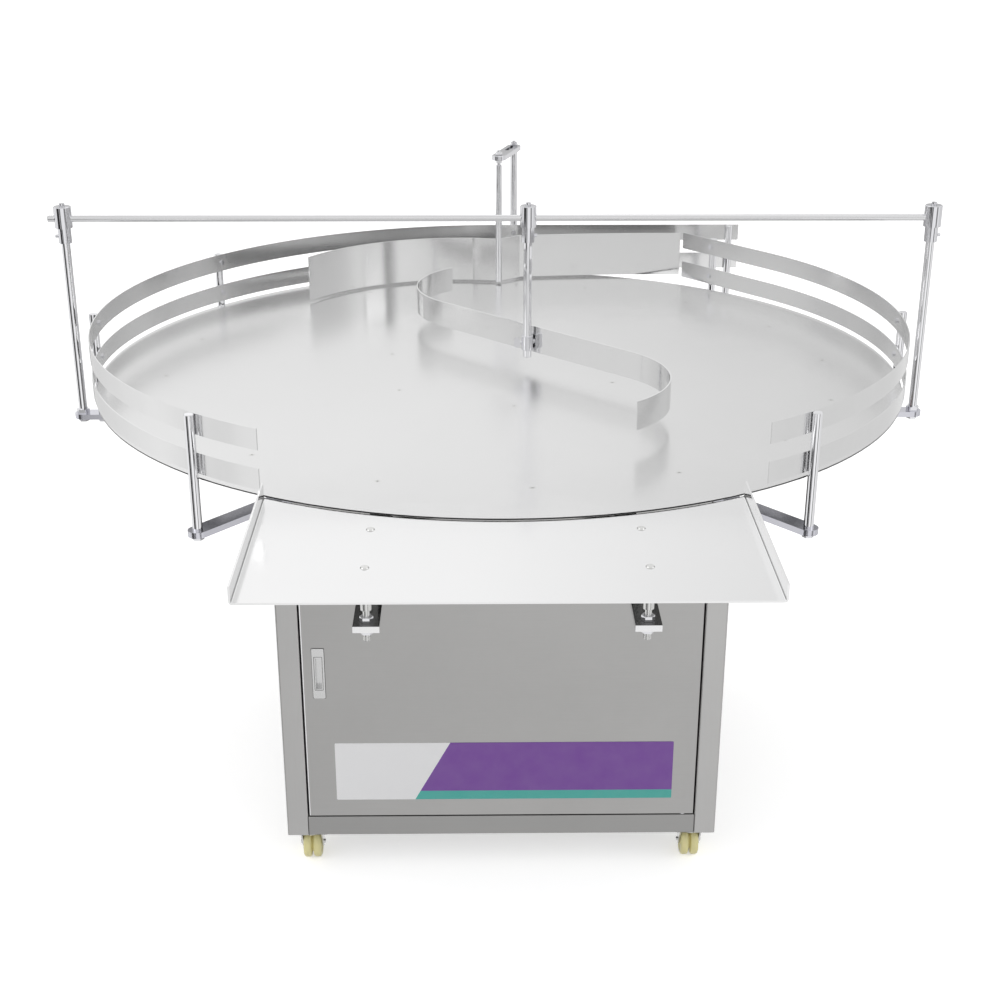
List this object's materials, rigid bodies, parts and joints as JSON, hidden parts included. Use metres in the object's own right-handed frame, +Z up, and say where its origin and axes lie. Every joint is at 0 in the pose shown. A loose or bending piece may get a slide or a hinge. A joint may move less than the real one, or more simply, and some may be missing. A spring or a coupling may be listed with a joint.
{
  "type": "rotary feeding table",
  "caption": "Rotary feeding table: spinning steel disc on a wheeled cabinet, with side rails, an adjustable S-shaped guide, a rear deflector and a feed tray.",
  "frame": {"origin": "centre of the turning disc's top face", "axes": "+Z up along the spin axis, -Y towards the feed tray and the front door, +X to the right seen from the front"},
  "size_m": [1.641, 1.81, 1.178],
  "materials": {
    "frame": "satin",
    "panel": "satin",
    "top_plate": "satin",
    "door": "satin",
    "door_pull": "polished",
    "hinge_pins": "turned",
    "door_catch": "moulded",
    "gearbox": "painted cast",
    "motor": "ribbed casting",
    "fan_cowl": "satin",
    "drive_unit": "moulded",
    "control_bodies": "moulded",
    "cable_gland": "moulded",
    "arms": "bright",
    "posts": "polished",
    "cross_bar": "polished",
    "heads": "turned",
    "clamp": "turned",
    "rails": "bright",
    "fasteners": "bright",
    "turntable_disc": "fine circular brush",
    "table_frame": "satin",
    "drive_shaft": "turned",
    "s_guide": "mirror",
    "deflector": "bright",
    "feed_tray": "bright",
    "tray_studs": "threaded",
    "caster_plates": "black",
    "caster_forks": "zinc plated",
    "caster_wheels": "moulded",
    "speed_knob": "moulded",
    "emergency_stop": "moulded",
    "power_switch": "moulded"
  },
  "bodies": {
    "cabinet": {"frame_legs": "frame", "lower_rails": "frame", "upper_rails": "frame", "top_plate": "top_plate", "side_panel_left": "panel", "side_panel_right": "panel", "rear_panel": "panel", "floor_panel": "panel", "door_catch": "door_catch", "gearbox": "gearbox", "motor": "motor", "fan_cowl": "fan_cowl", "terminal_box": "motor", "drive_unit": "drive_unit", "bearing_housing": "gearbox", "control_bodies": "control_bodies", "cable_gland": "cable_gland", "post_arms": "arms", "rail_posts": "posts", "tall_posts": "posts", "cross_bar": "cross_bar", "post_heads": "heads", "outer_rail_upper": "rails", "outer_rail_lower": "rails", "inner_rail_upper": "rails", "inner_rail_lower": "rails", "rail_screws": "fasteners", "bolts_and_nuts": "fasteners", "tray_brackets": "arms", "caster_plates": "caster_plates"},
    "turntable": {"drive_shaft": "drive_shaft", "table_hub": "table_frame", "table_spider": "table_frame", "turntable_disc": "turntable_disc", "table_screws": "fasteners"},
    "door": {"front_door": "door", "door_pull": "door_pull", "hinge_pins": "hinge_pins"},
    "guide_head": {"guide_head": "heads"},
    "guide_rod": {"guide_rod": "posts"},
    "guide": {"guide_clamp": "clamp", "s_guide": "s_guide"},
    "deflector_arm": {"slotted_arm": "arms"},
    "deflector": {"deflector_post": "posts", "deflector_corner": "deflector", "deflector_wing_left": "deflector", "deflector_wing_right": "deflector"},
    "feed_tray": {"feed_tray": "feed_tray", "tray_studs": "tray_studs"},
    "speed_knob": {"speed_knob": "speed_knob"},
    "emergency_stop": {"emergency_stop": "emergency_stop"},
    "power_switch": {"power_switch": "power_switch"},
    "caster_fork_1": {"caster_fork_1": "caster_forks"},
    "caster_wheel_1": {"caster_wheel_1": "caster_wheels"},
    "caster_fork_2": {"caster_fork_2": "caster_forks"},
    "caster_wheel_2": {"caster_wheel_2": "caster_wheels"},
    "caster_fork_3": {"caster_fork_3": "caster_forks"},
    "caster_wheel_3": {"caster_wheel_3": "caster_wheels"},
    "caster_fork_4": {"caster_fork_4": "caster_forks"},
    "caster_wheel_4": {"caster_wheel_4": "caster_wheels"}
  },
  "joints": [
    {"name": "turntable_spin", "type": "hinge", "parent": "cabinet", "child": "turntable", "pos_m": [0, 0, 0], "axis": [0, 0, 1], "continuous": true},
    {"name": "front_door_hinge", "type": "hinge", "parent": "cabinet", "child": "door", "pos_m": [0.338, -0.391, -0.4435], "axis": [0, 0, 1], "range_deg": [0, 110]},
    {"name": "guide_head_slide", "type": "slide", "parent": "cabinet", "child": "guide_head", "axis": [1, 0, 0], "range_m": [-0.15, 0.15]},
    {"name": "guide_rod_turn", "type": "hinge", "parent": "guide_head", "child": "guide_rod", "pos_m": [0.053, 0, 0.25], "axis": [0, 0, 1], "range_deg": [-180, 180]},
    {"name": "guide_height_slide", "type": "slide", "parent": "guide_rod", "child": "guide", "axis": [0, 0, 1], "range_m": [-0.01, 0.15]},
    {"name": "deflector_arm_slide", "type": "slide", "parent": "cabinet", "child": "deflector_arm", "axis": [0.2814, 0.9596, 0], "range_m": [0, 0.02]},
    {"name": "deflector_turn", "type": "hinge", "parent": "deflector_arm", "child": "deflector", "pos_m": [0.007, 0.64, 0.28], "axis": [0, 0, 1], "range_deg": [-2, 4]},
    {"name": "feed_tray_height", "type": "slide", "parent": "cabinet", "child": "feed_tray", "axis": [0, 0, 1], "range_m": [-0.01, 0.004]},
    {"name": "speed_knob_turn", "type": "hinge", "parent": "cabinet", "child": "speed_knob", "pos_m": [0.405, -0.26, -0.21], "axis": [1, 0, 0], "range_deg": [0, 300]},
    {"name": "emergency_stop_press", "type": "slide", "parent": "cabinet", "child": "emergency_stop", "axis": [1, 0, 0], "range_m": [-0.005, 0], "stiffness_N_per_m": 800, "springref_m": 0.002},
    {"name": "power_switch_turn", "type": "hinge", "parent": "cabinet", "child": "power_switch", "pos_m": [0.405, -0.1, -0.21], "axis": [1, 0, 0], "range_deg": [0, 90]},
    {"name": "caster_swivel_1", "type": "hinge", "parent": "cabinet", "child": "caster_fork_1", "pos_m": [-0.359, -0.359, -0.795], "axis": [0, 0, 1], "continuous": true},
    {"name": "caster_roll_1", "type": "hinge", "parent": "caster_fork_1", "child": "caster_wheel_1", "pos_m": [-0.359, -0.345, -0.834], "axis": [1, 0, 0], "continuous": true},
    {"name": "caster_swivel_2", "type": "hinge", "parent": "cabinet", "child": "caster_fork_2", "pos_m": [0.359, -0.359, -0.795], "axis": [0, 0, 1], "continuous": true},
    {"name": "caster_roll_2", "type": "hinge", "parent": "caster_fork_2", "child": "caster_wheel_2", "pos_m": [0.359, -0.345, -0.834], "axis": [1, 0, 0], "continuous": true},
    {"name": "caster_swivel_3", "type": "hinge", "parent": "cabinet", "child": "caster_fork_3", "pos_m": [-0.359, 0.359, -0.795], "axis": [0, 0, 1], "continuous": true},
    {"name": "caster_roll_3", "type": "hinge", "parent": "caster_fork_3", "child": "caster_wheel_3", "pos_m": [-0.359, 0.373, -0.834], "axis": [1, 0, 0], "continuous": true},
    {"name": "caster_swivel_4", "type": "hinge", "parent": "cabinet", "child": "caster_fork_4", "pos_m": [0.359, 0.359, -0.795], "axis": [0, 0, 1], "continuous": true},
    {"name": "caster_roll_4", "type": "hinge", "parent": "caster_fork_4", "child": "caster_wheel_4", "pos_m": [0.359, 0.373, -0.834], "axis": [1, 0, 0], "continuous": true}
  ]
}
